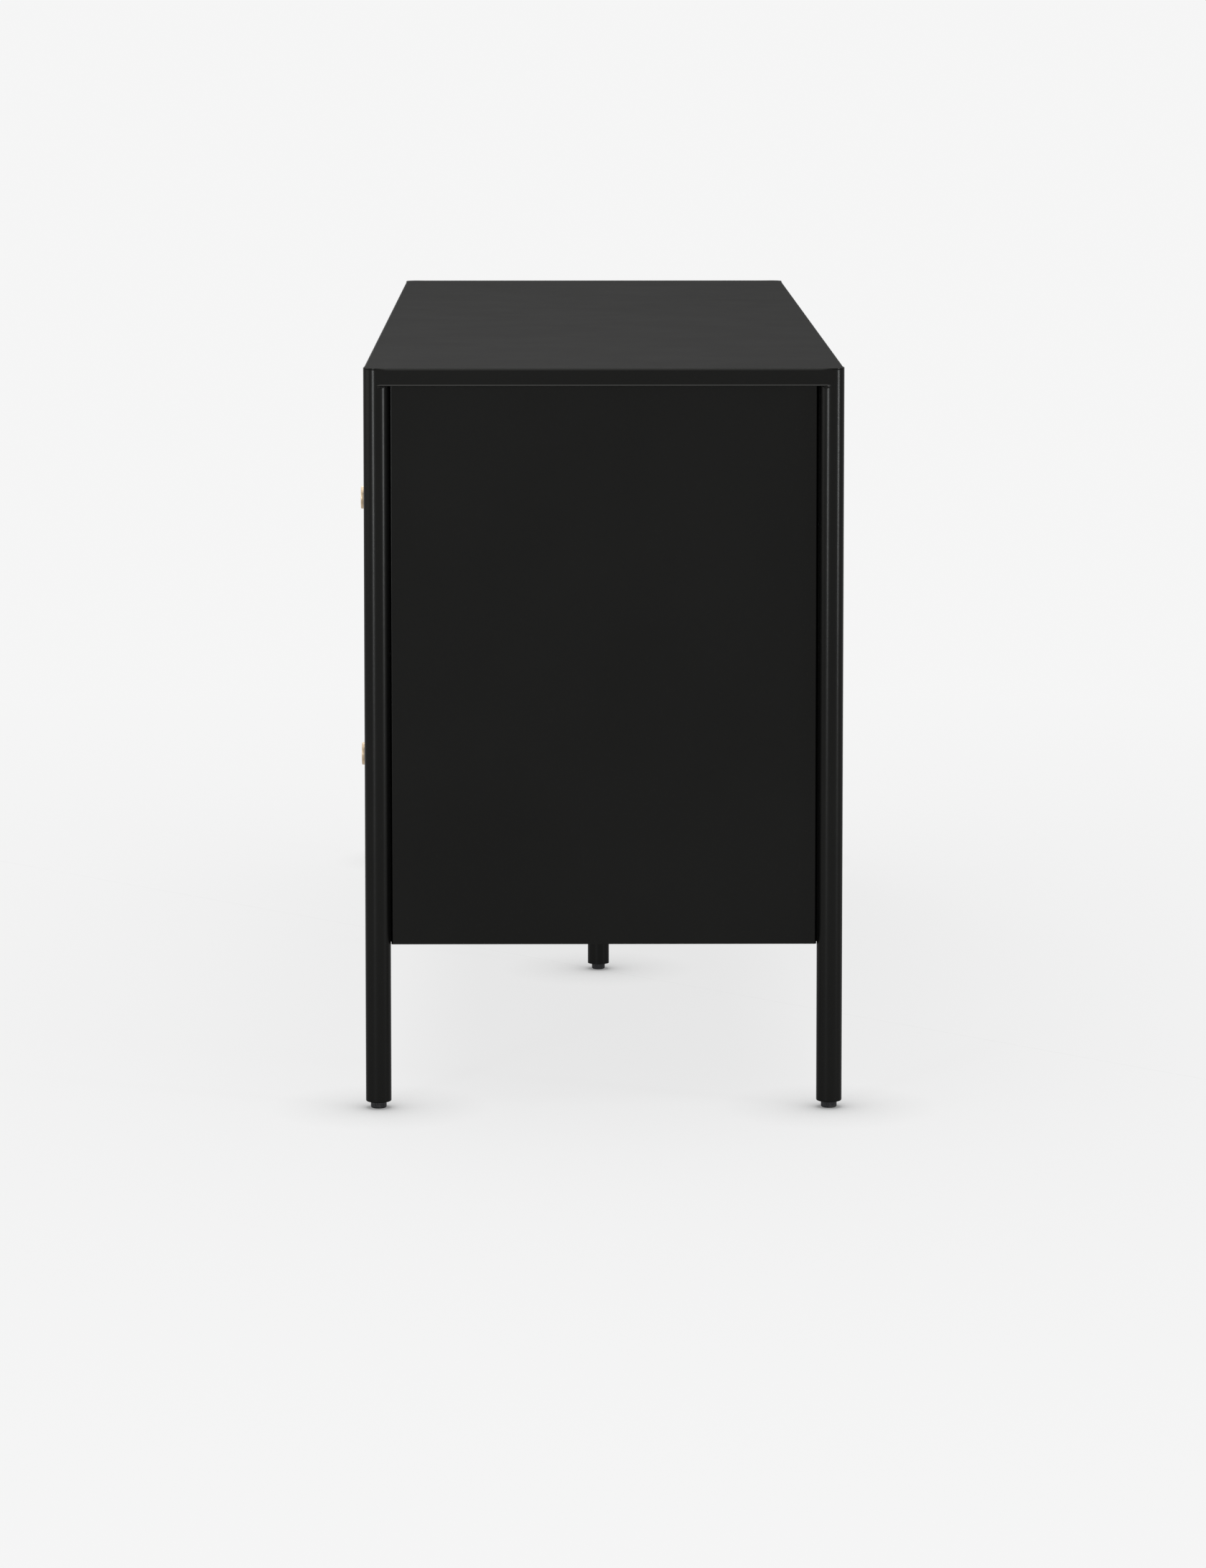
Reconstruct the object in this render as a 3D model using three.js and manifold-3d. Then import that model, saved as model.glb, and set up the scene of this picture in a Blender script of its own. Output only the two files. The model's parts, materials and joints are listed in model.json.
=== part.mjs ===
// A long steel dresser: two rows of three drawers under a folded sheet top, on four corner
// legs of round tube and a fifth, thinner leg under the middle of the case.
// Millimetres. +X runs along the length, +Z is up, and the drawers open towards -Y. The origin
// is on the floor, under the middle of the whole dresser with its knobs.
import * as THREE from "three";
import { mergeVertices } from "three/addons/utils/BufferGeometryUtils.js";
import Module from "manifold-3d";

const wasm = await Module();
wasm.setup();

// ---------------------------------------------------------------- driving dimensions
const length = 1524; // over the leg tubes
const depth = 473; // over the leg tubes
const height = 738; // floor to the upper face of the top
const clearance = 0.3; // round what is welded, nested or slides

const legDiameter = 25.4;
const legWall = 1.5;
const centreLegDiameter = 24;
const legPlug = 20; // height of the plug in the foot end of a leg
const legPlateSide = 80; // square plate on the centre leg
const legPlateThickness = 3;

const footHeight = 6.8; // shows below the tube when screwed right in
const footDiameter = 15.7;
const centreFootDiameter = 14.6;
const footEdge = 1.6; // radius between the foot's sole and its side
const stemDiameter = 6;
const footTravel = 8; // the stem still fills the plug when the foot is screwed out this far

const topThickness = 1.5;
const topFlange = 18; // overall height of the top's folded edge
const topBend = 2.5;
const topHem = 10; // height of the hem inside the folded edge
const copedEdge = 0.5; // thickness left at the flange's ends, which are cut to fit the tubes

const sheet = 1.2; // end panels, back, bottom and partitions
const sheetBend = 2;
const caseBottom = 164; // floor to the lower edge of the panels
const railHeight = 20; // front edge of the bottom pan
const panelLip = 40; // return of an end panel, which carries the runners
const backLip = 12;
const mullionWidth = 20;
const partitionLip = 8;
const stiffenerWidth = 60;
const stiffenerBrim = 20;
const stiffenerDepth = 15;

const columns = ["left", "middle", "right"];
const rows = ["lower", "upper"];
const reveal = 3; // gap round a drawer front
const frontDepth = 19;
const frontSheet = 1.2;
const frontLip = 14;
const frontBend = 1.8;

const traySheet = 1;
const trayBend = 1.6;
const trayRearSpace = 27.4; // rear of a shut drawer's tray to the back panel
const trayHeight = 200;
const trayRise = 10; // lower edge of the drawer front to the tray's floor
const trayLinerDrop = 4; // upper edge of the drawer front to its liner's edge
const trayHem = 10; // folded safety edge round the tray's rim
const hemThickness = 1.2;

const runnerSheet = 1.2;
const runnerSpace = 13; // wall of the bay to the side of the tray
const runnerHeight = 45;
const runnerSetback = 3; // rear face of the drawer front to the runner's front end
const runnerRise = 70; // tray's floor to the runner's middle
const raceGap = 2.7; // between the flanges of two nested members
const webGap = 0.8; // between the webs of two nested members, and past a flange's end
const retainerWidth = 5; // strip that holds the balls in a race

const knobDiameter = 23.5;
const knobStandOut = 24.4;
const knobBase = 13;
const knobNeck = 9;
const knobRim = 3.6; // thickness of the knob's head at its edge
const screwDiameter = 4;
const screwHeadDiameter = 8;
const screwHeadHeight = 2.4;

// ---------------------------------------------------------------- places worked out from them
const legRadius = legDiameter / 2;
const face = -(depth / 2 - legRadius); // drawer fronts, rail and mullions, at the legs' middle
const back = depth / 2 - legRadius; // outer face of the back panel
const endFace = length / 2 - legRadius; // outer face of an end panel
const bayEnd = length / 2 - legDiameter; // bay side of an end panel's returns
const floorEnd = bayEnd - sheet - 2 * clearance; // end flanges of the bottom pan
const underTop = height - topThickness;
const caseFloor = caseBottom + railHeight;
const knobForward = Math.max(0, knobStandOut - legRadius); // knobs stand out past the legs
const frontWidth =
  (2 * bayEnd - (columns.length - 1) * mullionWidth) / columns.length - 2 * reveal;
const frontHeight =
  (height - topFlange - caseFloor - (rows.length + 1) * reveal) / rows.length;
const columnPitch = frontWidth + 2 * reveal + mullionWidth;
const bayWidth = frontWidth + 2 * reveal;
const trayWidth = bayWidth - 2 * runnerSpace;
const trayFront = face + frontDepth;
const trayDepth = back - sheet - trayRearSpace - trayFront;
const runnerFront = trayFront + runnerSetback;
const runnerLength = trayDepth; // runners are made in the same lengths as drawers
const memberLength = runnerLength - runnerSheet - clearance; // in front of the rear stop

// ---------------------------------------------------------------- materials
const paint = { color: 0x1b1b1a, roughness: 0.38, metalness: 0.35 };
const finishes = {
  blackPaint: () => new THREE.MeshStandardMaterial(paint),
  trayPaint: () => new THREE.MeshStandardMaterial({ ...paint, roughness: 0.5 }),
  brass: () =>
    new THREE.MeshStandardMaterial({ color: 0xb39978, roughness: 0.32, metalness: 1 }),
  zinc: () =>
    new THREE.MeshStandardMaterial({ color: 0xa9adb0, roughness: 0.4, metalness: 1 }),
  plastic: () =>
    new THREE.MeshStandardMaterial({ color: 0x16161a, roughness: 0.6, metalness: 0 }),
};

// ---------------------------------------------------------------- solids
// A closed geometry as a manifold solid.
function solid(geometry) {
  const bare = geometry.clone();
  bare.deleteAttribute("normal");
  bare.deleteAttribute("uv");
  const merged = mergeVertices(bare, 1e-4);
  return new wasm.Manifold(
    new wasm.Mesh({
      numProp: 3,
      vertProperties: new Float32Array(merged.attributes.position.array),
      triVerts: new Uint32Array(merged.index.array),
    }),
  );
}

// A manifold solid, or a geometry, as a named mesh.
function piece(name, made, material) {
  let geometry = made;
  if (!made.isBufferGeometry) {
    const { vertProperties, triVerts } = made.getMesh();
    geometry = new THREE.BufferGeometry();
    geometry.setAttribute("position", new THREE.BufferAttribute(vertProperties, 3));
    geometry.setIndex(new THREE.BufferAttribute(triVerts, 1));
    geometry = geometry.toNonIndexed();
    geometry.computeVertexNormals();
  }
  const mesh = new THREE.Mesh(geometry, material);
  mesh.name = name;
  return mesh;
}

// Extrusions of a flat shape. alongX reads it as (y, z), alongY as (x, z), alongZ as (x, y).
const axes = {
  x: new THREE.Matrix4().makeBasis(
    new THREE.Vector3(0, 1, 0),
    new THREE.Vector3(0, 0, 1),
    new THREE.Vector3(1, 0, 0),
  ),
  minusY: new THREE.Matrix4().makeBasis(
    new THREE.Vector3(1, 0, 0),
    new THREE.Vector3(0, 0, 1),
    new THREE.Vector3(0, -1, 0),
  ),
};

function extrusion(shape, low, high) {
  const options = { depth: high - low, bevelEnabled: false, curveSegments: 2 };
  return new THREE.ExtrudeGeometry(shape, options).translate(0, 0, low);
}

const alongZ = (shape, low, high) => solid(extrusion(shape, low, high));
const alongX = (shape, low, high) =>
  solid(extrusion(shape, low, high).applyMatrix4(axes.x));
const alongY = (shape, low, high) =>
  solid(extrusion(shape, -high, -low).applyMatrix4(axes.minusY));

function rectangle(left, right, low, high) {
  return new THREE.Shape([
    new THREE.Vector2(left, low),
    new THREE.Vector2(right, low),
    new THREE.Vector2(right, high),
    new THREE.Vector2(left, high),
  ]);
}

function roundedRectangle(width, breadth, radius) {
  const x = width / 2 - radius;
  const y = breadth / 2 - radius;
  return new THREE.Shape()
    .absarc(x, y, radius, 0, Math.PI / 2)
    .absarc(-x, y, radius, Math.PI / 2, Math.PI)
    .absarc(-x, -y, radius, Math.PI, 1.5 * Math.PI)
    .absarc(x, -y, radius, 1.5 * Math.PI, 2 * Math.PI);
}

const disc = (x, y, radius, segments = 32) =>
  new THREE.Shape(
    Array.from({ length: segments }, (_, i) => {
      const turn = (2 * Math.PI * i) / segments;
      return new THREE.Vector2(x + radius * Math.cos(turn), y + radius * Math.sin(turn));
    }),
  );

// Points of an open path with its corners turned into bends of a given radius.
function bent(points, radius, steps = 2) {
  const path = [points[0]];
  for (let i = 1; i < points.length - 1; i += 1) {
    const before = points[i - 1].clone().sub(points[i]).normalize();
    const after = points[i + 1].clone().sub(points[i]).normalize();
    const half = Math.acos(before.dot(after)) / 2;
    const centre = before.clone().add(after).normalize();
    centre.multiplyScalar(radius / Math.sin(half)).add(points[i]);
    const start = before.multiplyScalar(radius / Math.tan(half)).add(points[i]);
    const end = after.multiplyScalar(radius / Math.tan(half)).add(points[i]);
    const from = Math.atan2(start.y - centre.y, start.x - centre.x);
    let turn = Math.atan2(end.y - centre.y, end.x - centre.x) - from;
    turn -= 2 * Math.PI * Math.round(turn / (2 * Math.PI));
    for (let k = 0; k <= steps; k += 1) {
      const angle = from + (turn * k) / steps;
      path.push(
        new THREE.Vector2(
          centre.x + radius * Math.cos(angle),
          centre.y + radius * Math.sin(angle),
        ),
      );
    }
  }
  path.push(points[points.length - 1]);
  return path;
}

// Section of a folded sheet: a path along one face, and the other face to its left.
function folded(corners, thickness, radius) {
  const points = corners.map(([x, y]) => new THREE.Vector2(x, y));
  const path = radius > 0 ? bent(points, radius) : points;
  const directions = path.slice(1).map((p, i) => p.clone().sub(path[i]).normalize());
  const other = path.map((p, i) => {
    const before = directions[Math.max(0, i - 1)];
    const after = directions[Math.min(directions.length - 1, i)];
    const mitre = before.clone().add(after).normalize();
    const normal = new THREE.Vector2(-mitre.y, mitre.x);
    return normal.multiplyScalar(thickness / mitre.dot(after)).add(p);
  });
  return new THREE.Shape([...path, ...other.reverse()]);
}

// A block whose upper edges are rounded, from z = -drop up to z = 0.
function block(width, breadth, drop, corner, bend) {
  const outline = roundedRectangle(width - 2 * bend, breadth - 2 * bend, corner - bend);
  const options = {
    depth: drop,
    bevelThickness: bend,
    bevelSize: bend,
    bevelSegments: 3,
    curveSegments: corner > 2 * bend ? 8 : 2,
  };
  const whole = solid(
    new THREE.ExtrudeGeometry(outline, options).translate(0, 0, -drop - bend),
  );
  const below = rectangle(-width, width, -breadth, breadth);
  return whole.subtract(alongZ(below, -drop - 3 * bend, -drop));
}

// A sheet folded down on its four sides, with its outer face at z = 0.
function pan(width, breadth, drop, thickness, corner, bend) {
  const wall = 2 * thickness;
  const inside = roundedRectangle(width - wall, breadth - wall, corner - thickness);
  return block(width, breadth, drop, corner, bend).subtract(
    alongZ(inside, -drop - wall, -thickness),
  );
}

function lathe(profile, segments) {
  const points = profile.map(([radius, along]) => new THREE.Vector2(radius, along));
  return new THREE.LatheGeometry(points, segments).rotateX(Math.PI / 2);
}

const cylinder = (x, y, radius, low, high) => alongZ(disc(x, y, radius), low, high);

const signs = [-1, 1];
const corners = signs.flatMap((sy) =>
  signs.map((sx) => ({
    name: `${sy < 0 ? "front" : "rear"}_${sx < 0 ? "left" : "right"}`,
    x: sx * endFace,
    y: sy * back,
  })),
);

// ---------------------------------------------------------------- legs and feet
// A tube with a plug in its lower end, bored through for the stem of the foot.
function legTube(diameter, top) {
  const outer = diameter / 2;
  const inner = outer - legWall;
  const bore = stemDiameter / 2 + clearance;
  const profile = [
    [bore, footHeight],
    [outer, footHeight],
    [outer, top],
    [inner, top],
    [inner, footHeight + legPlug],
    [bore, footHeight + legPlug],
    [bore, footHeight],
  ];
  return lathe(profile, 32);
}

// The foot's disc has a rounded sole and carries the stem that screws into the plug.
function foot(diameter) {
  const radius = diameter / 2;
  const stem = stemDiameter / 2;
  const sole = [0, 1, 2].map((k) => {
    const turn = (Math.PI / 4) * k;
    return [
      radius - footEdge + footEdge * Math.sin(turn),
      footEdge - footEdge * Math.cos(turn),
    ];
  });
  const profile = [
    [0, 0],
    ...sole,
    [radius, footHeight],
    [stem, footHeight],
    [stem, footHeight + legPlug + footTravel],
    [0, footHeight + legPlug + footTravel],
  ];
  return lathe(profile, 20);
}

function cornerLegs() {
  return corners.map(({ name, x, y }) => {
    const leg = piece(`leg_${name}`, legTube(legDiameter, underTop), finishes.blackPaint());
    leg.position.set(x, y, 0);
    return leg;
  });
}

function centreLeg() {
  const top = caseFloor - sheet - stiffenerDepth;
  const underPlate = top - legPlateThickness;
  const plate = roundedRectangle(legPlateSide, legPlateSide, legPlateThickness * 2);
  const tube = solid(legTube(centreLegDiameter, underPlate + legPlateThickness / 2));
  return piece(
    "leg_centre",
    tube.add(alongZ(plate, underPlate, top)),
    finishes.blackPaint(),
  );
}

function feet() {
  const places = [...corners, { name: "centre", x: 0, y: 0 }];
  return places.map(({ name, x, y }) => {
    const diameter = name === "centre" ? centreFootDiameter : footDiameter;
    const made = piece(`foot_${name}`, foot(diameter), finishes.plastic());
    made.position.set(x, y, 0);
    return made;
  });
}

// ---------------------------------------------------------------- case
// How far from a tube's middle a sheet stops that lies up to drop inside the tube's side.
const copedReach = (drop) =>
  Math.sqrt((legRadius + clearance) ** 2 - (legRadius - drop) ** 2);

// The hem is the sheet folded flat against the inside of the flange, so the lower edge is
// twice as thick and round. Sections are drawn from the outer face inwards, below the top.
function hemmed(made) {
  const fold = topThickness;
  const low = -topFlange;
  const steps = [0, 1, 2, 3];
  const round = (from, to) =>
    steps.map((k) => {
      const turn = from + ((to - from) * k) / (steps.length - 1);
      return [fold + fold * Math.cos(turn), low + fold + fold * Math.sin(turn)];
    });
  const hem = [
    [fold / 2, low],
    ...round(-Math.PI / 2, 0),
    [2 * fold, low + topHem],
    [fold / 2, low + topHem],
  ];
  const shaved = [
    [-fold, low - fold],
    [fold, low - fold],
    ...round(1.5 * Math.PI, Math.PI),
    [-fold, low + fold],
  ];
  const bar = (along, points, half, reach) => {
    const places = points.map(([inwards, z]) => new THREE.Vector2(inwards - half, z));
    return along(new THREE.Shape(places), -reach, reach);
  };
  const stop = copedReach(2 * fold);
  const sides = [
    { along: alongX, half: depth / 2, reach: endFace, normal: [0, 1, 0] },
    { along: alongY, half: length / 2, reach: back, normal: [1, 0, 0] },
  ];
  return sides.reduce((whole, { along, half, reach, normal }) => {
    const added = bar(along, hem, half, reach - stop);
    const cut = bar(along, shaved, half, reach);
    return whole
      .add(added)
      .add(added.mirror(normal))
      .subtract(cut)
      .subtract(cut.mirror(normal));
  }, made);
}

// The top's sheet covers the legs. Its flange stops at them, so the tubes form the corners:
// each end of the flange is cut to lie against a tube, with a blunt edge where they meet.
function topPan() {
  const whole = copedReach(topThickness);
  const blunt = copedReach(copedEdge);
  const cornerPoints = [
    [legRadius - topThickness, -whole],
    [legRadius - copedEdge, -blunt],
    [legDiameter, -blunt],
    [legDiameter, legDiameter],
    [-blunt, legDiameter],
    [-blunt, legRadius - copedEdge],
    [-whole, legRadius - topThickness],
  ];
  const quarters = [
    [1, 1],
    [-1, 1],
    [-1, -1],
    [1, -1],
  ];
  const outline = quarters.flatMap(([sx, sy]) => {
    const points = sx === sy ? cornerPoints : [...cornerPoints].reverse();
    return points.map(
      ([x, y]) => new THREE.Vector2(sx * (endFace + x), sy * (back + y)),
    );
  });
  const hollow = alongZ(new THREE.Shape(outline), -2 * topFlange, -topThickness);
  const made = block(length, depth, topFlange, legRadius, topBend).subtract(hollow);
  return piece("top_pan", hemmed(made).translate([0, 0, height]), finishes.blackPaint());
}

// An end panel is a sheet between two legs whose upright edges fold inwards and back, so the
// returns lie level with the legs' inner sides and carry the runners.
function endPanel(name, turn) {
  const y = back - legRadius - clearance;
  const section = folded(
    [
      [bayEnd, panelLip - y],
      [bayEnd, -y],
      [endFace, -y],
      [endFace, y],
      [bayEnd, y],
      [bayEnd, y - panelLip],
    ],
    sheet,
    sheetBend,
  );
  const made = piece(name, alongZ(section, caseBottom, underTop), finishes.blackPaint());
  made.rotation.z = turn;
  return made;
}

function backPanel() {
  const x = bayEnd - clearance;
  const section = folded(
    [
      [x, back - backLip],
      [x, back],
      [-x, back],
      [-x, back - backLip],
    ],
    sheet,
    sheetBend,
  );
  return piece("back_panel", alongZ(section, caseBottom, underTop), finishes.blackPaint());
}

// Its front flange is the rail. The pan stands between the returns of the back panel.
function bottomPan() {
  const rear = back - sheet - clearance;
  const made = pan(
    2 * floorEnd,
    rear - face,
    railHeight,
    sheet,
    sheetBend,
    sheetBend,
  );
  return piece(
    "bottom_pan",
    made.translate([0, (face + rear) / 2, caseFloor]),
    finishes.blackPaint(),
  );
}

// Hat channel along the case under its floor, from one end flange of the pan to the other.
function bottomStiffener() {
  const z = caseFloor - sheet;
  const half = stiffenerWidth / 2;
  const crown = z - stiffenerDepth;
  const section = folded(
    [
      [half + stiffenerBrim, z - sheet],
      [half + sheet, z - sheet],
      [half + sheet, crown],
      [-half - sheet, crown],
      [-half - sheet, z - sheet],
      [-half - stiffenerBrim, z - sheet],
    ],
    -sheet,
    0,
  );
  const x = floorEnd - sheetBend - clearance;
  return piece("bottom_stiffener", alongX(section, -x, x), finishes.blackPaint());
}

// A partition is one sheet folded into a deep channel. Its web is the mullion between two
// columns, its sides carry runners, and its rear edges turn inwards against the back panel.
function partition(name, x) {
  const half = mullionWidth / 2;
  const rear = back - sheet - clearance;
  const section = folded(
    [
      [-half + partitionLip, rear],
      [-half, rear],
      [-half, face],
      [half, face],
      [half, rear],
      [half - partitionLip, rear],
    ],
    sheet,
    sheetBend,
  );
  const made = piece(name, alongZ(section, caseFloor, underTop), finishes.blackPaint());
  made.position.x = x;
  return made;
}

// ---------------------------------------------------------------- telescopic runners
// Sections are drawn in x from the wall of the bay towards the tray, and in z from the
// runner's middle. Each member's flanges reach past the balls of the member it nests in.
const cabinetFlange = runnerHeight / 2;
const middleFlange = cabinetFlange - runnerSheet - raceGap;
const drawerFlange = middleFlange - runnerSheet - raceGap;
const middleWeb = runnerSheet + webGap;
const drawerWeb = runnerSpace - runnerSheet;

// A channel with its web at x = web and its flanges reaching to x = reach.
function channel(web, reach, flange) {
  const left = reach > web;
  const corner = [
    [reach, -flange],
    [web, -flange],
    [web, flange],
    [reach, flange],
  ];
  return folded(corner, left ? -runnerSheet : runnerSheet, runnerSheet);
}

// Fixed to the case, with a tab across its rear end that stops the other members.
function cabinetMember(name) {
  const reach = drawerWeb - 2 * webGap;
  const section = channel(0, reach, cabinetFlange);
  const rear = runnerFront + runnerLength;
  const inside = cabinetFlange - runnerSheet / 2;
  const stop = rectangle(runnerSheet / 2, reach - runnerSheet, -inside, inside);
  const made = alongY(section, runnerFront, rear).add(
    alongY(stop, rear - runnerSheet, rear),
  );
  return piece(name, made, finishes.zinc());
}

// Slides in the cabinet member. The strips on both faces of its flanges hold the balls.
function middleMember(name) {
  const reach = drawerWeb - webGap;
  const rear = runnerFront + memberLength;
  const strip = raceGap - clearance;
  const bite = runnerSheet / 2;
  const middle = (middleWeb + runnerSheet + reach) / 2;
  let made = alongY(channel(middleWeb, reach, middleFlange), runnerFront, rear);
  for (const side of signs) {
    const faces = [
      [middleFlange - bite, middleFlange + strip],
      [middleFlange - runnerSheet - strip, middleFlange - bite],
    ];
    for (const [low, high] of faces) {
      const [bottom, top] = side > 0 ? [low, high] : [-high, -low];
      const left = middle - retainerWidth / 2;
      const retainer = rectangle(left, left + retainerWidth, bottom, top);
      made = made.add(alongY(retainer, runnerFront + retainerWidth, rear - retainerWidth));
    }
  }
  return piece(name, made, finishes.zinc());
}

// Welded to the tray, so it is part of the tray's solid.
function drawerMember() {
  const weld = traySheet / 2;
  const reach = middleWeb + runnerSheet + webGap;
  const section = channel(drawerWeb + runnerSheet, reach, drawerFlange);
  const web = rectangle(drawerWeb, runnerSpace + weld, 2 * runnerSheet - drawerFlange,
    drawerFlange - 2 * runnerSheet);
  const rear = runnerFront + memberLength;
  return alongY(section, runnerFront, rear).add(alongY(web, runnerFront, rear));
}

// ---------------------------------------------------------------- drawers
// Each drawer is drawn round the middle of its front.
function drawerFront(name) {
  const shell = pan(frontWidth, frontHeight, frontDepth, frontSheet, frontBend, frontBend);
  const ring = roundedRectangle(frontWidth, frontHeight, frontBend);
  ring.holes.push(
    rectangle(
      frontLip - frontWidth / 2,
      frontWidth / 2 - frontLip,
      frontLip - frontHeight / 2,
      frontHeight / 2 - frontLip,
    ),
  );
  const lips = alongZ(ring, -frontDepth, frontSheet - frontDepth);
  const hole = cylinder(0, 0, screwDiameter / 2 + clearance, -frontDepth, topBend);
  const made = shell.add(lips).subtract(hole);
  return piece(name, made.transform(axes.minusY.toArray()).translate([0, face, 0]),
    finishes.blackPaint());
}

// A tray folded from one sheet with a hem round its rim. Its front wall goes on up as the
// drawer front's liner, and the runners' drawer members are welded to its sides.
function drawerTray(name) {
  const floor = trayRise - frontHeight / 2;
  const rim = floor + trayHeight;
  const rear = trayFront + trayDepth;
  const half = trayWidth / 2;
  let made = pan(trayWidth, trayDepth, trayHeight, traySheet, trayBend, trayBend)
    .rotate([180, 0, 0])
    .translate([0, (trayFront + rear) / 2, floor]);
  const liner = rectangle(-half, half, floor + trayHeight / 2,
    frontHeight / 2 - trayLinerDrop);
  made = made.add(alongY(liner, trayFront, trayFront + traySheet));
  const hem = rectangle(-half - hemThickness, half + hemThickness, trayFront,
    rear + hemThickness);
  hem.holes.push(rectangle(traySheet / 2 - half, half - traySheet / 2,
    trayFront + traySheet / 2, rear - traySheet / 2));
  made = made.add(alongZ(hem, rim - trayHem, rim));
  const member = drawerMember().translate([-bayWidth / 2, 0, floor + runnerRise]);
  made = made.add(member).add(member.mirror([1, 0, 0]));
  const hole = alongY(disc(0, 0, screwDiameter / 2 + clearance, 12), face, trayFront + 5);
  return piece(name, made.subtract(hole), finishes.trayPaint());
}

// A turned knob with a flat head, held by a screw from inside the tray.
function knob(name) {
  const head = knobDiameter / 2;
  const neck = knobNeck / 2;
  const base = knobBase / 2;
  const screw = screwDiameter / 2;
  const inside = -(frontDepth + traySheet + clearance);
  const under = knobStandOut - knobRim;
  const edge = knobRim / 3;
  const profile = [
    [0, inside - screwHeadHeight],
    [screwHeadDiameter / 2, inside - screwHeadHeight],
    [screwHeadDiameter / 2, inside],
    [screw, inside],
    [screw, 0],
    [base, 0],
    [base, edge],
    [neck, base - screw / 2],
    [neck, under - base],
    [(neck + head) / 2, under - edge],
    [head, under],
    [head, knobStandOut - edge],
    [head - edge, knobStandOut],
    [0, knobStandOut],
  ];
  const geometry = lathe(profile, 24).applyMatrix4(axes.minusY);
  return piece(name, geometry.translate(0, face, 0), finishes.brass());
}

// One drawer with its knob and the four runner members that are nodes of their own.
function drawer(place) {
  const group = new THREE.Group();
  group.add(
    drawerFront(`drawer_front_${place}`),
    drawerTray(`drawer_tray_${place}`),
    knob(`knob_${place}`),
  );
  for (const side of signs) {
    const hand = side < 0 ? "left" : "right";
    const runner = new THREE.Group();
    runner.position.set((side * bayWidth) / 2, 0, trayRise - frontHeight / 2 + runnerRise);
    runner.rotation.y = side < 0 ? 0 : Math.PI;
    runner.add(
      cabinetMember(`runner_case_${place}_${hand}`),
      middleMember(`runner_middle_${place}_${hand}`),
    );
    group.add(runner);
  }
  return group;
}

function drawers() {
  return rows.flatMap((row, j) =>
    columns.map((column, i) => {
      const made = drawer(`${row}_${column}`);
      made.position.x = (i - (columns.length - 1) / 2) * columnPitch;
      made.position.z = caseFloor + reveal + frontHeight / 2 + j * (frontHeight + reveal);
      return made;
    }),
  );
}

// ---------------------------------------------------------------- the whole dresser
const dresser = new THREE.Group();
dresser.add(
  topPan(),
  ...cornerLegs(),
  centreLeg(),
  ...feet(),
  endPanel("end_panel_right", 0),
  endPanel("end_panel_left", Math.PI),
  backPanel(),
  bottomPan(),
  bottomStiffener(),
  partition("partition_left", -columnPitch / 2),
  partition("partition_right", columnPitch / 2),
  ...drawers(),
);
dresser.position.y = knobForward / 2;

const part = new THREE.Group();
part.add(dresser);
export default part;
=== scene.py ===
# A long steel dresser: black satin paint, six drawers with turned brass knobs, and five legs
# with black plastic feet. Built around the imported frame, in metres.
import json
import math
import random

import bmesh
import bpy
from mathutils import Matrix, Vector


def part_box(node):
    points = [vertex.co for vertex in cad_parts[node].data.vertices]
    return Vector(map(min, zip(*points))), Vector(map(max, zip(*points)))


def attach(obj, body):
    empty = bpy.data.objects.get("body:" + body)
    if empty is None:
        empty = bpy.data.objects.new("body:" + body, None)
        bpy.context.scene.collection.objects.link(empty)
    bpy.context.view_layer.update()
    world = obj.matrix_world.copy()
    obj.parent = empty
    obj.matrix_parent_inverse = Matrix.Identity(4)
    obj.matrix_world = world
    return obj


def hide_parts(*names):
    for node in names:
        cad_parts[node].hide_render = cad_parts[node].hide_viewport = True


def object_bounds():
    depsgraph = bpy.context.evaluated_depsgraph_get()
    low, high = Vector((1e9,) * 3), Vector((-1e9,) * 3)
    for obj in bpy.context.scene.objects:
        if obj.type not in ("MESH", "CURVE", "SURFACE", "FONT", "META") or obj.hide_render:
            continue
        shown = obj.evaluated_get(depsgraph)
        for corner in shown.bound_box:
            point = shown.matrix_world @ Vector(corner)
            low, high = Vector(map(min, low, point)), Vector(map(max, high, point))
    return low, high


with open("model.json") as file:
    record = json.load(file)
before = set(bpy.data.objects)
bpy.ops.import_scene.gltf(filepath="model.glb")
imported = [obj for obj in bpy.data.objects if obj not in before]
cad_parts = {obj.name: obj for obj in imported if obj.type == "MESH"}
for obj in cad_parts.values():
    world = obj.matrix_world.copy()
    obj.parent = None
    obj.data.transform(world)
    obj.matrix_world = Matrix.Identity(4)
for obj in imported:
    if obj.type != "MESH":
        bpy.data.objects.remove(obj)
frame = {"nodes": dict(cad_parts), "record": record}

cad_low, cad_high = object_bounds()
scene = bpy.context.scene
scene.view_settings.view_transform = "Standard"
random.seed(7)

MM = 0.001
UP = (0, 0, 1)
FORWARDS = (0, -1, 0)
COOL = (0.93, 0.96, 1.0)
WHITE = (1, 1, 1)
CREASE = 46  # degrees between two faces of a CAD node that still shade as one surface
CORNERS = ("front_left", "front_right", "rear_left", "rear_right")
FEET = CORNERS + ("centre",)
PLACES = [f"{row}_{column}" for row in ("lower", "upper") for column in ("left", "middle", "right")]


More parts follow.
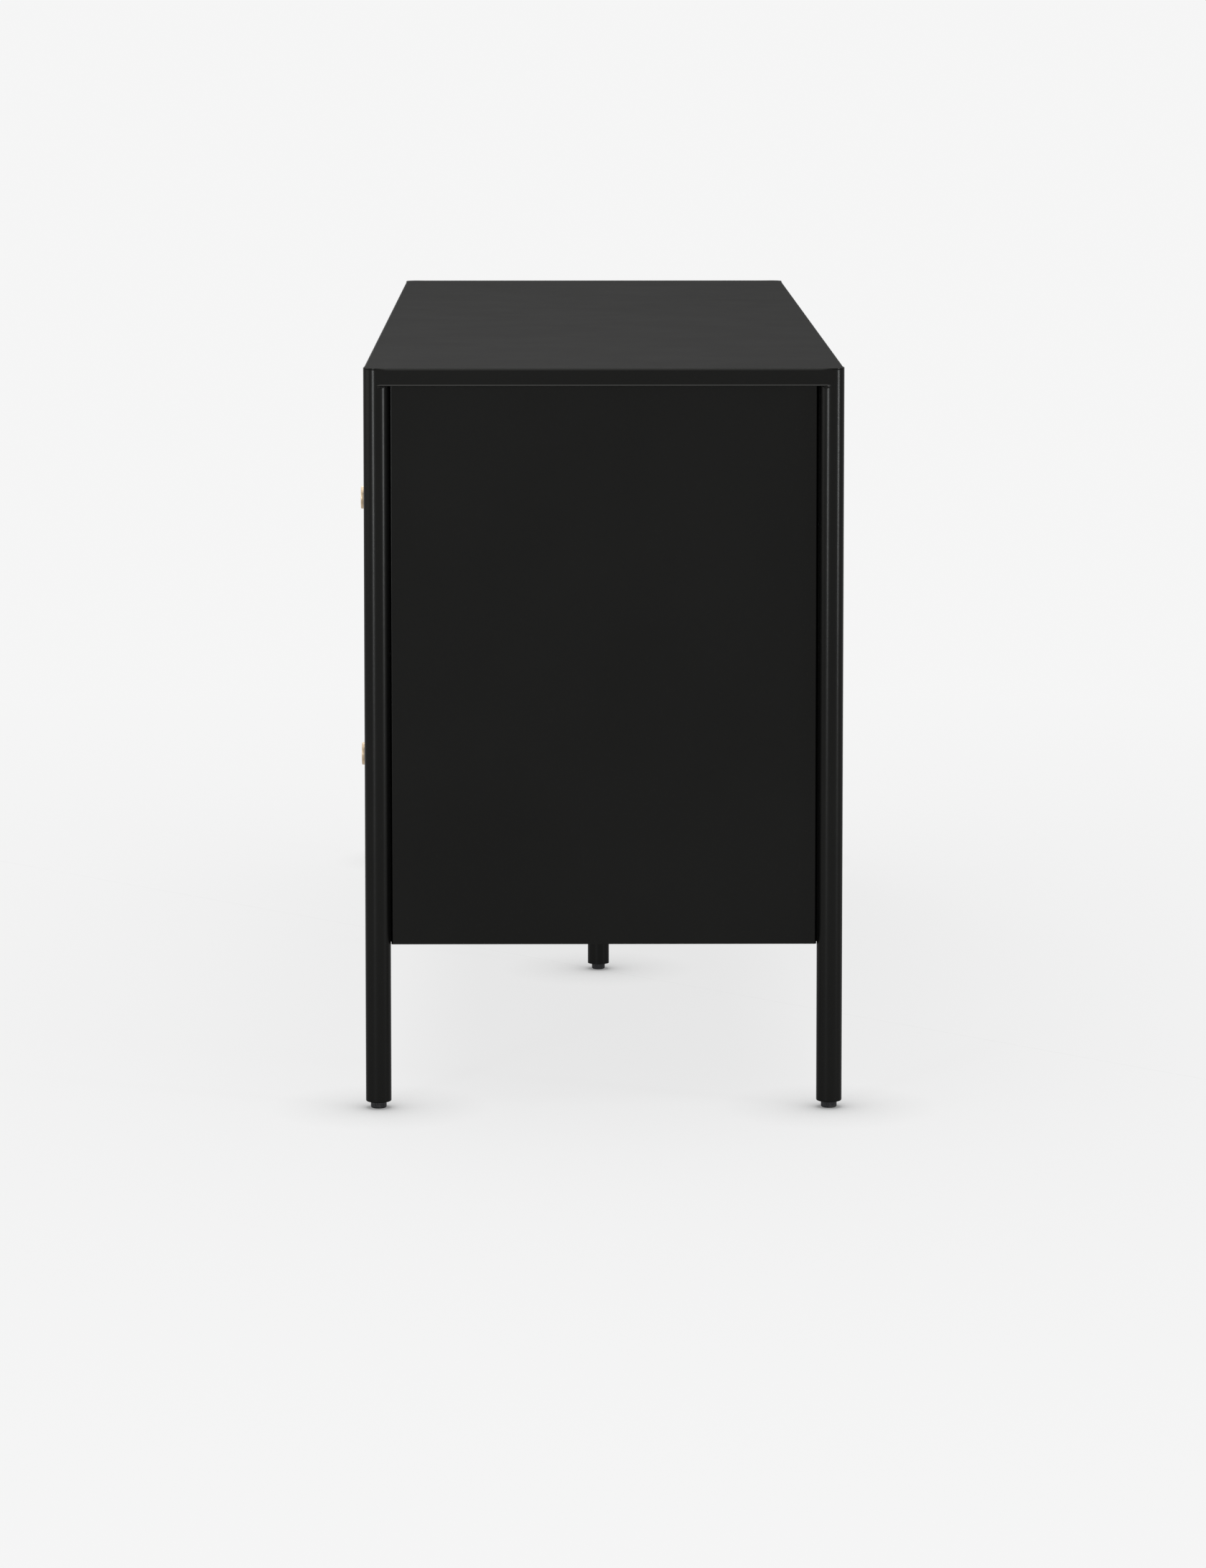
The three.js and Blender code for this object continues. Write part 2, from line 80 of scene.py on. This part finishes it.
# ---------------------------------------------------------------- camera, light and floor
def add_camera():
    """Square on to the right end, about 5 m off and 0.4 m above the top."""
    data = bpy.data.cameras.new("camera")
    data.sensor_width = 36
    data.lens = 123.3
    data.shift_y = -0.2
    camera = bpy.data.objects.new("camera", data)
    scene.collection.objects.link(camera)
    camera.location = (6.0129, -0.0378, 1.1204)
    yaw, tilt = math.radians(0.466), math.radians(5.257)  # towards +Y, and down
    look = Vector((-math.cos(yaw) * math.cos(tilt), math.sin(yaw) * math.cos(tilt), -math.sin(tilt)))
    camera.rotation_euler = look.to_track_quat("-Z", "Y").to_euler()
    data.clip_start, data.clip_end = 0.05, 1000
    scene.camera = camera


def area_light(name, place, target, width, height, radiance, colour=WHITE):
    """A rectangular lamp that points at target; radiance is what a mirror would show of it."""
    data = bpy.data.lights.new(name, "AREA")
    data.shape = "RECTANGLE"
    data.size, data.size_y = width, height
    data.energy = radiance * math.pi * width * height
    data.color = colour
    lamp = bpy.data.objects.new(name, data)
    scene.collection.objects.link(lamp)
    lamp.location = place
    lamp.rotation_euler = (Vector(target) - Vector(place)).to_track_quat("-Z", "Y").to_euler()
    lamp.visible_camera = False


def seen_directly(tree):
    """1 for rays that show the background itself: camera, glossy and transmission rays."""
    path = tree.nodes.new("ShaderNodeLightPath")
    total = path.outputs["Is Camera Ray"]
    for name in ("Is Glossy Ray", "Is Transmission Ray"):
        both = tree.nodes.new("ShaderNodeMath")
        both.operation = "MAXIMUM"
        tree.links.new(total, both.inputs[0])
        tree.links.new(path.outputs[name], both.inputs[1])
        total = both.outputs["Value"]
    return total


def add_world(pale, light):
    """A pale background, and a duller light from it all round."""
    world = bpy.data.worlds.new("studio")
    scene.world = world
    world.use_nodes = True
    tree = world.node_tree
    background = tree.nodes["Background"]
    level = tree.nodes.new("ShaderNodeMapRange")
    level.inputs["To Min"].default_value = light
    level.inputs["To Max"].default_value = pale
    tree.links.new(seen_directly(tree), level.inputs["Value"])
    tree.links.new(level.outputs["Result"], background.inputs["Strength"])
    background.inputs["Color"].default_value = (*WHITE, 1)


add_camera()
add_world(pale=0.913, light=0.45)
# The softboxes draw the long highlights on the legs; the others light all sides evenly.
area_light("overhead", (0, 0, 3.6), (0, 0, 0), 4.2, 4.2, 0.8)
area_light("softbox_front", (4.6, -2.13, 0.75), (0.75, 0, 0.75), 0.6, 1.3, 25, COOL)
area_light("softbox_rear", (2.5, 3.93, 0.75), (0.75, 0, 0.75), 0.5, 1.3, 29, COOL)
area_light("fill_front", (1.2, -4.6, 1.4), (0.2, 0, 0.5), 3.2, 2.2, 1.9)
area_light("fill_left", (-3.3, -0.5, 3.3), (-0.8, 0, 0.4), 2.2, 1.8, 2.8)


# ---------------------------------------------------------------- node materials
class Nodes:
    """A material with a Principled shader, and short ways to add nodes to it."""

    def __init__(self, name, **sockets):
        self.material = bpy.data.materials.get(name) or bpy.data.materials.new(name)
        self.material.use_nodes = True
        self.tree = self.material.node_tree
        self.tree.nodes.clear()
        self.shader = self.add("ShaderNodeBsdfPrincipled")
        output = self.add("ShaderNodeOutputMaterial")
        self.tree.links.new(self.shader.outputs["BSDF"], output.inputs["Surface"])
        for socket, value in sockets.items():
            self.shader.inputs[socket.replace("_", " ")].default_value = value
        coordinates = self.add("ShaderNodeTexCoord")
        self.place, self.normal = coordinates.outputs["Object"], coordinates.outputs["Normal"]

    def add(self, kind, **settings):
        node = self.tree.nodes.new(kind)
        for key, value in settings.items():
            setattr(node, key, value)
        return node

    def link(self, output, socket):
        self.tree.links.new(output, socket)

    def stretched(self, scale):
        """Object coordinates, scaled along each axis."""
        node = self.add("ShaderNodeMapping")
        node.inputs["Scale"].default_value = scale
        self.link(self.place, node.inputs["Vector"])
        return node.outputs["Vector"]

    def noise(self, scale, detail=2, roughness=0.5, vector=None):
        node = self.add("ShaderNodeTexNoise")
        node.inputs["Scale"].default_value = scale
        node.inputs["Detail"].default_value = detail
        node.inputs["Roughness"].default_value = roughness
        self.link(vector or self.place, node.inputs["Vector"])
        return node.outputs["Fac"]

    def ramp(self, value, low, high, start, end):
        """value from low..high to start..end, held at both."""
        node = self.add("ShaderNodeMapRange", clamp=True)
        names = ("From Min", "From Max", "To Min", "To Max")
        for socket, number in zip(names, (low, high, start, end)):
            node.inputs[socket].default_value = number
        self.link(value, node.inputs["Value"])
        return node.outputs["Result"]

    def math(self, operation, a, b):
        node = self.add("ShaderNodeMath", operation=operation)
        for socket, value in zip(node.inputs, (a, b)):
            if isinstance(value, (int, float)):
                socket.default_value = value
            else:
                self.link(value, socket)
        return node.outputs["Value"]

    def mix(self, factor, dark, light):
        """A colour from dark to light; either may be a socket."""
        node = self.add("ShaderNodeMix", data_type="RGBA")
        for name, value in (("Factor", factor), ("A", dark), ("B", light)):
            kind = "VALUE" if name == "Factor" else "RGBA"
            socket = next(s for s in node.inputs if s.name == name and s.type == kind)
            if isinstance(value, bpy.types.NodeSocket):
                self.link(value, socket)
            else:
                socket.default_value = value if isinstance(value, (int, float)) else (*value, 1)
        return next(s for s in node.outputs if s.type == "RGBA")

    def facing_up(self):
        """1 where the surface faces straight up, 0 from 45 degrees away and beyond."""
        node = self.add("ShaderNodeSeparateXYZ")
        self.link(self.normal, node.inputs["Vector"])
        return self.ramp(node.outputs["Z"], 0.71, 1, 0, 1)

    def painted(self, name):
        """A value stored on the vertices of a mesh, 0 on a mesh without it."""
        return self.add("ShaderNodeAttribute", attribute_name=name).outputs["Fac"]

    def distance_out(self):
        """How far a point of the floor lies from the object's box."""
        value = self.place
        for operation, vector in (("ABSOLUTE", None), ("SUBTRACT", cad_high), ("MAXIMUM", (0, 0, 0))):
            node = self.add("ShaderNodeVectorMath", operation=operation)
            self.link(value, node.inputs[0])
            if vector:
                node.inputs[1].default_value = vector
            value = node.outputs["Vector"]
        node = self.add("ShaderNodeVectorMath", operation="LENGTH")
        self.link(value, node.inputs[0])
        return node.outputs["Value"]

    def bump(self, *layers):
        """Each layer is a height socket with its depth in metres."""
        normal = None
        for height, depth in layers:
            node = self.add("ShaderNodeBump")
            node.inputs["Distance"].default_value = depth
            self.link(height, node.inputs["Height"])
            if normal:
                self.link(normal, node.inputs["Normal"])
            normal = node.outputs["Normal"]
        self.link(normal, self.shader.inputs["Normal"])


def paint(name, colour, rough, scuffed, gloss, grain):
    """Powder coat: a fine texture, faint clouds of tone and specks, and a painted highlight on the
    top's hem and bend. Where it faces up it is scuffed, so its roughness goes from rough to scuffed.
    It is shaded mostly as a metal, by gloss, so that its reflections are as dark as its colour."""
    dulled = 0.42  # share of the gloss that is left where it faces up
    n = Nodes(name, Specular_IOR_Level=0.0, Specular_Tint=(0.65, 0.65, 0.65, 1))
    clouds = n.noise(5, detail=4)
    speck = n.ramp(n.noise(1100, detail=0), 0.76, 0.82, 0, 1)
    low = tuple(c * 0.96 for c in colour)
    high = tuple(c * 1.05 for c in colour)
    toned = n.mix(n.ramp(clouds, 0.35, 0.65, 0, 1), low, high)
    specked = n.mix(speck, toned, tuple(c * 1.6 for c in colour))
    # Painted highlight: the colour is lightened up to 4.4 times where the mesh's vertex value says
    # so, on the top's hem and bend.
    highlight_colour = tuple(c * 4.4 for c in colour)
    n.link(n.mix(n.painted("painted_highlight"), specked, highlight_colour), n.shader.inputs["Base Color"])
    smears = n.noise(14, detail=3, roughness=0.6)
    rubbed = n.ramp(smears, 0.3, 0.7, rough - 0.012, rough + 0.012)
    up = n.facing_up()
    added = n.math("MULTIPLY", up, scuffed - rough)
    n.link(n.math("ADD", rubbed, added), n.shader.inputs["Roughness"])
    n.link(n.ramp(up, 0, 1, gloss, gloss * dulled), n.shader.inputs["Metallic"])
    fine, coarse = n.noise(1400, detail=1), n.noise(260, detail=2)
    n.bump((fine, 0.02 * MM * grain), (coarse, 0.03 * MM * grain))
    return n.material


def brass(name):
    """Turned brass under old lacquer: fine turning lines and darker, browner patches."""
    n = Nodes(name, Metallic=1.0)
    patina = n.noise(160, detail=4, roughness=0.6)
    toned = n.mix(n.ramp(patina, 0.35, 0.7, 0, 1), (0.44, 0.34, 0.225), (0.66, 0.53, 0.38))
    n.link(toned, n.shader.inputs["Base Color"])
    n.link(n.ramp(patina, 0.3, 0.7, 0.36, 0.24), n.shader.inputs["Roughness"])
    lines = n.noise(1, detail=3, vector=n.stretched((60, 5200, 60)))
    n.bump((lines, 0.012 * MM))
    return n.material


def zinc(name):
    """Zinc plate on drawn steel: long faint lines along the runner and cloudy tone."""
    n = Nodes(name, Metallic=1.0)
    clouds = n.noise(70, detail=4)
    n.link(n.mix(clouds, (0.42, 0.43, 0.44), (0.68, 0.69, 0.7)), n.shader.inputs["Base Color"])
    lines = n.noise(1, detail=4, vector=n.stretched((900, 12, 900)))
    n.link(n.ramp(lines, 0.3, 0.7, 0.26, 0.42), n.shader.inputs["Roughness"])
    n.bump((lines, 0.01 * MM))
    return n.material


def plastic(name):
    """Moulded plastic with a fine spark-eroded grain and scuffs."""
    n = Nodes(name, Specular_IOR_Level=0.25)
    scuff = n.ramp(n.noise(220, detail=3), 0.55, 0.72, 0, 1)
    toned = n.mix(scuff, (0.010, 0.010, 0.011), (0.030, 0.029, 0.028))
    n.link(toned, n.shader.inputs["Base Color"])
    n.link(n.ramp(scuff, 0, 1, 0.42, 0.62), n.shader.inputs["Roughness"])
    n.bump((n.noise(2600, detail=1), 0.015 * MM))
    return n.material


def floor_material():
    """Pale, evenly bright to the camera and in reflections, with a painted shadow from ambient
    occlusion close to the object, darkest at the feet. Near the object part of the real light and
    shadow shows as well."""
    near, far = 0.1, 1.6  # over this distance the real light and shadow fade out
    touch = 0.1  # how near a piece darkens the floor
    n = Nodes("floor", Specular_IOR_Level=0.0, Roughness=0.9)
    tone = n.noise(1.5, detail=2)
    n.link(n.mix(tone, (0.885, 0.885, 0.885), (0.9, 0.9, 0.9)), n.shader.inputs["Base Color"])
    # Painted shadow: ambient occlusion darkens the floor's glow near the pieces, darkest at the feet.
    contact = n.add("ShaderNodeAmbientOcclusion", samples=8)
    contact.inputs["Distance"].default_value = touch
    shade = n.ramp(contact.outputs["AO"], 0.5, 1.0, 0.3, 0.917)
    fill = n.add("ShaderNodeEmission")
    n.link(shade, fill.inputs["Strength"])
    glow = n.ramp(n.distance_out(), near, far, 0.83, 1)
    share = n.math("MULTIPLY", seen_directly(n.tree), glow)
    blend = n.add("ShaderNodeMixShader")
    n.link(share, blend.inputs["Fac"])
    n.link(n.shader.outputs["BSDF"], blend.inputs[1])
    n.link(fill.outputs["Emission"], blend.inputs[2])
    output = next(x for x in n.tree.nodes if x.type == "OUTPUT_MATERIAL")
    n.link(blend.outputs["Shader"], output.inputs["Surface"])
    return n.material


MATERIALS = {
    "black_paint": paint("black_paint", (0.0136, 0.0136, 0.013),
                         rough=0.24, scuffed=0.53, gloss=0.85, grain=0.65),
    "tray_paint": paint("tray_paint", (0.022, 0.022, 0.0215),
                        rough=0.42, scuffed=0.5, gloss=0.85, grain=1.4),
    "brass": brass("brass"),
    "zinc_plate": zinc("zinc_plate"),
    "foot_plastic": plastic("foot_plastic"),
}


def add_floor():
    """A plain sheet that runs out far past the picture."""
    half = 300
    corners = [(-half, -half, 0), (half, -half, 0), (half, half, 0), (-half, half, 0)]
    mesh = bpy.data.meshes.new("floor")
    mesh.from_pydata(corners, [], [(0, 1, 2, 3)])
    mesh.materials.append(floor_material())
    floor = bpy.data.objects.new("floor", mesh)
    scene.collection.objects.link(floor)


add_floor()


# ---------------------------------------------------------------- shading of the CAD nodes
def smoothing(angle):
    """Node group that joins split vertices and shades smooth across edges flatter than angle."""
    tree = bpy.data.node_groups.new(f"smooth_{angle}", "GeometryNodeTree")
    tree.interface.new_socket("Geometry", in_out="INPUT", socket_type="NodeSocketGeometry")
    tree.interface.new_socket("Geometry", in_out="OUTPUT", socket_type="NodeSocketGeometry")
    new, link = tree.nodes.new, tree.links.new
    start, end = new("NodeGroupInput"), new("NodeGroupOutput")
    bare = new("GeometryNodeRemoveAttribute")
    bare.inputs["Name"].default_value = "custom_normal"
    weld = new("GeometryNodeMergeByDistance")
    weld.inputs["Distance"].default_value = 2e-6
    faces = new("GeometryNodeSetShadeSmooth")
    edges = new("GeometryNodeSetShadeSmooth")
    edges.domain = "EDGE"
    edges.inputs["Shade Smooth"].default_value = False
    corner = new("GeometryNodeInputMeshEdgeAngle")
    sharp = new("FunctionNodeCompare")
    sharp.operation = "GREATER_THAN"
    sharp.inputs[1].default_value = math.radians(angle)
    link(start.outputs[0], bare.inputs["Geometry"])
    link(bare.outputs["Geometry"], weld.inputs["Geometry"])
    link(weld.outputs["Geometry"], faces.inputs["Geometry"])
    link(faces.outputs["Geometry"], edges.inputs["Geometry"])
    link(corner.outputs["Unsigned Angle"], sharp.inputs[0])
    link(sharp.outputs["Result"], edges.inputs["Selection"])
    link(edges.outputs["Geometry"], end.inputs[0])
    return tree


def dress_cad_nodes():
    """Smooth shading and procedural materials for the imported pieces."""
    tree = smoothing(CREASE)
    slots = {part["node"]: part["material_slot"] for part in frame["record"]["subparts"]}
    for node, item in frame["nodes"].items():
        modifier = item.modifiers.new("smooth", "NODES")
        modifier.node_group = tree
        item.modifiers.new("weight", "WEIGHTED_NORMAL").keep_sharp = True
        for slot in item.material_slots:
            slot.material = MATERIALS[slots[node]]


dress_cad_nodes()


# ---------------------------------------------------------------- pieces made here
def finished(name, mesh, body, slot, nodes=()):
    """Puts a mesh in the scene as a piece of the object that rides on body, in place of nodes."""
    item = bpy.data.objects.new(name, mesh)
    scene.collection.objects.link(item)
    mesh.materials.append(MATERIALS[slot])
    item.modifiers.new("weight", "WEIGHTED_NORMAL").keep_sharp = True
    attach(item, body)
    if nodes:
        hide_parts(*nodes)


def mesh_of(name, bm, angle=40):
    """A mesh from bm, with outward normals, smooth across edges flatter than angle."""
    bmesh.ops.remove_doubles(bm, verts=bm.verts, dist=1e-7)
    bmesh.ops.recalc_face_normals(bm, faces=bm.faces)
    for face in bm.faces:
        face.smooth = True
    for edge in bm.edges:
        edge.smooth = len(edge.link_faces) == 2 and edge.calc_face_angle() < math.radians(angle)
    mesh = bpy.data.meshes.new(name)
    bm.to_mesh(mesh)
    bm.free()
    return mesh


def lathe(bm, profile, axis, origin, segments, wobble=None):
    """Turns (radius, along) points round an axis; wobble(turn, along) scales the radius."""
    turned = Vector(UP).rotation_difference(Vector(axis)).to_matrix()
    rings = []
    for radius, along in profile:
        if radius == 0:
            rings.append([bm.verts.new(turned @ Vector((0, 0, along)) + origin)])
            continue
        ring = []
        for k in range(segments):
            turn = 2 * math.pi * k / segments
            reach = radius * (wobble(turn, along) if wobble else 1)
            point = Vector((reach * math.cos(turn), reach * math.sin(turn), along))
            ring.append(bm.verts.new(turned @ point + origin))
        rings.append(ring)
    for a, b in zip(rings, rings[1:]):
        for k in range(segments):
            corners = [a[k % len(a)], a[(k + 1) % len(a)], b[(k + 1) % len(b)], b[k % len(b)]]
            corners = list(dict.fromkeys(corners))
            if len(corners) > 2:
                bm.faces.new(corners)


def arc(centre, radius, start, end, steps):
    """Points on an arc, with angles in degrees."""
    return [
        (centre[0] + radius * math.cos(math.radians(start + (end - start) * k / steps)),
         centre[1] + radius * math.sin(math.radians(start + (end - start) * k / steps)))
        for k in range(steps + 1)
    ]


def add_leg(corner):
    """A tube with its rims eased and an insert for the foot, in place of a corner leg."""
    low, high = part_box(f"leg_{corner}")
    middle = Vector(((low.x + high.x) / 2, (low.y + high.y) / 2, low.z))
    radius, height = (high.x - low.x) / 2, high.z - low.z
    wall, rim, mouth, inset = 1.5 * MM, 0.8 * MM, 1.2 * MM, 0.9 * MM
    inner, seam = radius - wall, 30 * MM  # the profile begins and ends at the seam, inside
    profile = [(inner, seam), (inner, wall - mouth)]
    profile += arc((radius - mouth, mouth), mouth, -90, 0, 5)
    profile += [(radius, height * k / 6) for k in range(1, 6)]
    profile += arc((radius - rim, height - rim), rim, 0, 90, 5)
    profile += [(inner, height), (inner, seam)]
    bm = bmesh.new()
    lathe(bm, profile, UP, middle, 72)
    name = f"tube_{corner}"
    finished(name, mesh_of(name, bm), "case", "black_paint", (f"leg_{corner}",))

    bore, plug = 3.3 * MM, 20 * MM
    ring = [(bore, inset), (inner - inset, inset), (inner, 2 * inset)]
    ring += [(inner, plug), (bore, plug), (bore, inset)]
    bm = bmesh.new()
    lathe(bm, ring, UP, middle, 48)
    name = f"insert_{corner}"
    finished(name, mesh_of(name, bm), "case", "foot_plastic")


def add_top():
    """The top's sheet. It bends down into four flanges, whose closed hem runs out on the tubes."""
    low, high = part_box("top_pan")
    leg_low, leg_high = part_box("leg_front_right")
    corner = (leg_high.x - leg_low.x) / 2
    middle, size = (low + high) / 2, (high - low) / 2
    sheet, flange, hem, fold = 1.5 * MM, 18 * MM, 10 * MM, 1.9 * MM
    bend, edge, under = 2.5 * MM, 0.7 * MM, 0.4 * MM  # radii: along a side, over a tube, beneath
    blend, pull, sag = 12 * MM, 5 * MM, 1.4 * MM  # near a tube the bend tightens and the hem sags

    def rounded(radius):
        """(inwards, z) from the flat face to the outer side."""
        return [(radius - x, y - radius) for x, y in arc((0, 0), radius, 90, 0, 6)]

    def shallow(radius):
        """Over a corner, where the sheet ends on top of the tube."""
        beneath = arc((under, under - sheet), under, 180, 270, 3)
        return rounded(radius) + beneath + [(2.5 * MM, -sheet)]

    def deep(radius, drop):
        """Along a side, down the flange and round its hem, which is open like a teardrop."""
        foot = fold - flange - drop
        points = rounded(radius) + [(0, -flange / 2), (0, foot)]
        points += arc((fold, foot), fold, 180, 360, 10)[1:]
        points += [(2 * sheet, hem - flange - under), (2 * sheet - under, hem - flange)]
        points += [(sheet, hem - flange)]
        return points + [(sheet, -2 * sheet), (2 * sheet, -sheet)]

    def painted_highlight(k, count):
        """How much painted highlight point k of count gets: fully round the hem, less on the bend."""
        on_bend, has_hem = 0 < k < 6, count > 12
        if on_bend:
            return 0.31
        return 1 if has_hem and 8 < k < 18 else 0

    bm = bmesh.new()
    # Each vertex stores how much painted highlight lightens the paint there: round the hem and on the
    # bend.
    highlight_layer = bm.verts.layers.float.new("painted_highlight")
    brim, ceiling, caps = [], [], []

    def run(stations):
        """Skins a row of sections; each is its outer point, its inward direction and its points."""
        rings = []
        for (x, y), (u, v), section in stations:
            ring = [bm.verts.new((x + d * u, y + d * v, high.z + z)) for d, z in section]
            for k, vert in enumerate(ring):
                vert[highlight_layer] = painted_highlight(k, len(ring))
            rings.append(ring)
        for a, b in zip(rings, rings[1:]):
            for k in range(len(a) - 1):
                bm.faces.new((a[k], b[k], b[k + 1], a[k + 1]))
        brim.extend(ring[0] for ring in rings)
        ceiling.extend(ring[-1] for ring in rings)
        return rings[0], rings[-1]

    for turn in range(4):
        angle = math.pi / 2 * turn
        out = Vector((round(math.cos(angle)), round(math.sin(angle))))
        along = Vector((-out.y, out.x))
        reach, length = (size.x, size.y - corner) if out.x else (size.y, size.x - corner)
        ends = [d * MM for d in (0, 1, 2, 3.5, 5, 7, 10, 14)]
        places = [d - length for d in ends] + [length * k / 8 for k in range(-6, 7)]
        places += [length - d for d in reversed(ends)]
        side = []
        for t in places:
            end = length - abs(t)
            share = min(1, end / blend)
            radius = edge + (bend - edge) * share * share * (3 - 2 * share)
            section = deep(radius, sag * max(0, 1 - end / pull) ** 2)
            side.append((middle.xy + reach * out + t * along, -out, section))
        centre = middle.xy + (reach - corner) * out + length * along
        turned = []
        for k in range(11):
            radial = math.cos(math.pi / 20 * k) * out + math.sin(math.pi / 20 * k) * along
            turned.append((centre + corner * radial, -radial, shallow(edge)))
        caps += [run(side), run(turned)]
    for k in range(0, len(caps), 2):
        first, last = caps[k]
        before, after = caps[k - 1][1], caps[k + 1][0]
        bm.faces.new(first[6:] + before[:6:-1])
        bm.faces.new(last[6:] + after[:6:-1])
    bm.faces.new(brim)
    bm.faces.new(ceiling)
    finished("top", mesh_of("top", bm), "case", "black_paint", ("top_pan",))


def add_welds():
    """A bead under each end of the hem, along the tube it is welded to, thickest at its far end."""
    steps, sides = 22, 12
    bm = bmesh.new()
    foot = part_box("top_pan")[0].z
    middle = (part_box("top_pan")[0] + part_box("top_pan")[1]) / 2
    for corner in CORNERS:
        low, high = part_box(f"leg_{corner}")
        centre, radius = (low + high) / 2, (high.x - low.x) / 2
        lengthwise = Vector((-math.copysign(1, centre.x - middle.x), 0))
        crosswise = Vector((0, -math.copysign(1, centre.y - middle.y)))
        for along, out in ((lengthwise, crosswise), (crosswise, lengthwise)):
            rings = []
            # From the flange round the tube, swelling and rising to meet the hem's foot.
            for k in range(steps + 1):
                f = k / steps
                a = math.radians(2 + 46 * f)
                radial = -math.cos(a) * out + math.sin(a) * along
                swell = math.sin(math.pi * min(1, 0.12 + 0.92 * f)) ** 0.8 * (0.35 + 0.65 * f)
                thick = (0.3 + 1.6 * swell) * MM
                thick *= 1 + 0.07 * math.sin(40 * f) + 0.1 * random.uniform(-1, 1)
                reach = radius + (1.1 * f - 1.0) * MM
                z = foot - 0.5 * thick - 1.2 * MM * (1 - f) ** 2
                rings.append([
                    bm.verts.new((
                        centre.x + (reach + thick * math.cos(b)) * radial.x,
                        centre.y + (reach + thick * math.cos(b)) * radial.y,
                        z + thick * math.sin(b),
                    ))
                    for b in (math.pi * 2 * j / sides for j in range(sides))
                ])
            for a, b in zip(rings, rings[1:]):
                for j in range(sides):
                    bm.faces.new((a[j - 1], a[j], b[j], b[j - 1]))
            bm.faces.new(rings[0])
            bm.faces.new(rings[-1])
    finished("welds", mesh_of("welds", bm, 60), "case", "black_paint")


def add_foot(place):
    """A moulded, reeded foot on a threaded stem."""
    low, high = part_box(f"foot_{place}")
    middle = Vector(((low.x + high.x) / 2, (low.y + high.y) / 2, low.z))
    radius, height, stem = (high.x - low.x) / 2, 6.8 * MM, 3 * MM
    sole, rim, pitch, thread = 1.6 * MM, 0.5 * MM, 1 * MM, 0.35 * MM
    reeds, groove = 24, 0.06  # how many, and how deep as a share of the radius
    profile = [(0, 0)] + arc((radius - sole, sole), sole, -90, 0, 6)
    profile += [(radius, height / 2)] + arc((radius - rim, height - rim), rim, 0, 90, 3)
    profile += [(stem, height)]
    along = height + pitch / 2
    while along + pitch < high.z - low.z:
        profile += [(stem - thread, along), (stem, along + pitch / 2)]
        along += pitch
    profile += [(stem - 0.5 * MM, high.z - low.z), (0, high.z - low.z)]

    def reeded(turn, along):
        """Reeds on the side of the foot, none on its sole, its upper face or the stem."""
        share = min(1, max(0, (along - 0.3 * sole) / sole)) if along < height - 0.1 * MM else 0
        return 1 - groove * share * (0.5 - 0.5 * math.cos(reeds * turn)) ** 2

    bm = bmesh.new()
    lathe(bm, profile, UP, middle, reeds * 6, reeded)
    name = f"glide_{place}"
    finished(name, mesh_of(name, bm), f"foot_{place}", "foot_plastic", (f"foot_{place}",))


def add_knob(place):
    """A turned knob and the screw that holds it from inside the drawer."""
    low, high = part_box(f"knob_{place}")
    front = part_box(f"drawer_front_{place}")[0].y
    head, out = (high.x - low.x) / 2, front - low.y
    inside = front - high.y
    origin = Vector(((low.x + high.x) / 2, front, (low.z + high.z) / 2))
    base, neck, rim, ease = 6.5 * MM, 4.3 * MM, 3.6 * MM, 0.9 * MM
    flange, eased, back = 1.4 * MM, 0.5 * MM, 1.2 * MM  # of the base, its edge and the head's back
    screw_head, screw_top, screw = 4 * MM, 2.4 * MM, 2 * MM
    quarter = math.pi / 2
    profile = [(screw, inside + screw_top), (screw, 0), (base, 0)]
    profile += arc((base - eased, flange - eased), eased, 0, 90, 4)
    cove = out - rim - 2.2 * MM - flange
    for k in range(1, 9):
        reach = neck + (base - eased - neck) * (1 - math.sin(quarter * k / 8))
        profile.append((reach, flange + 0.35 * cove * k / 8))
    for k in range(11):
        reach = neck + (head - back - neck) * (1 - math.cos(quarter * k / 10))
        profile.append((reach, flange + cove * (0.5 + 0.5 * math.sin(quarter * k / 10))))
    profile += arc((head - ease, out - rim + ease), ease, -60, 0, 4)
    profile += arc((head - ease, out - ease), ease, 0, 80, 6)
    dome = 0.15 * MM
    profile += [(head * k / 8, out - dome * (k / 8) ** 2) for k in range(6, 0, -1)] + [(0, out)]
    bm = bmesh.new()
    lathe(bm, profile, FORWARDS, origin, 72)
    shape = [(0, inside), (0.8 * MM, inside)]
    for k in range(1, 9):
        raised = 1.2 * MM * (1 - math.cos(quarter * k / 8))
        shape.append((screw_head * math.sin(quarter * k / 8), inside + raised))
    shape += [(screw_head, inside + screw_top), (screw, inside + screw_top)]
    lathe(bm, shape, FORWARDS, origin, 48)
    # A cross is pressed into the screw's head.
    slot, arms, depth = 0.45 * MM, 2.3 * MM, 0.9 * MM
    for vert in bm.verts:
        across, up = vert.co.x - origin.x, vert.co.z - origin.z
        on_head = vert.co.y > high.y - 0.7 * MM
        if on_head and min(abs(across), abs(up)) < slot and math.hypot(across, up) < arms:
            vert.co.y -= depth
    name = f"pull_{place}"
    finished(name, mesh_of(name, bm), f"drawer_{place}", "brass", (f"knob_{place}",))


for corner in CORNERS:
    add_leg(corner)
add_top()
add_welds()
for place in FEET:
    add_foot(place)
for place in PLACES:
    add_knob(place)
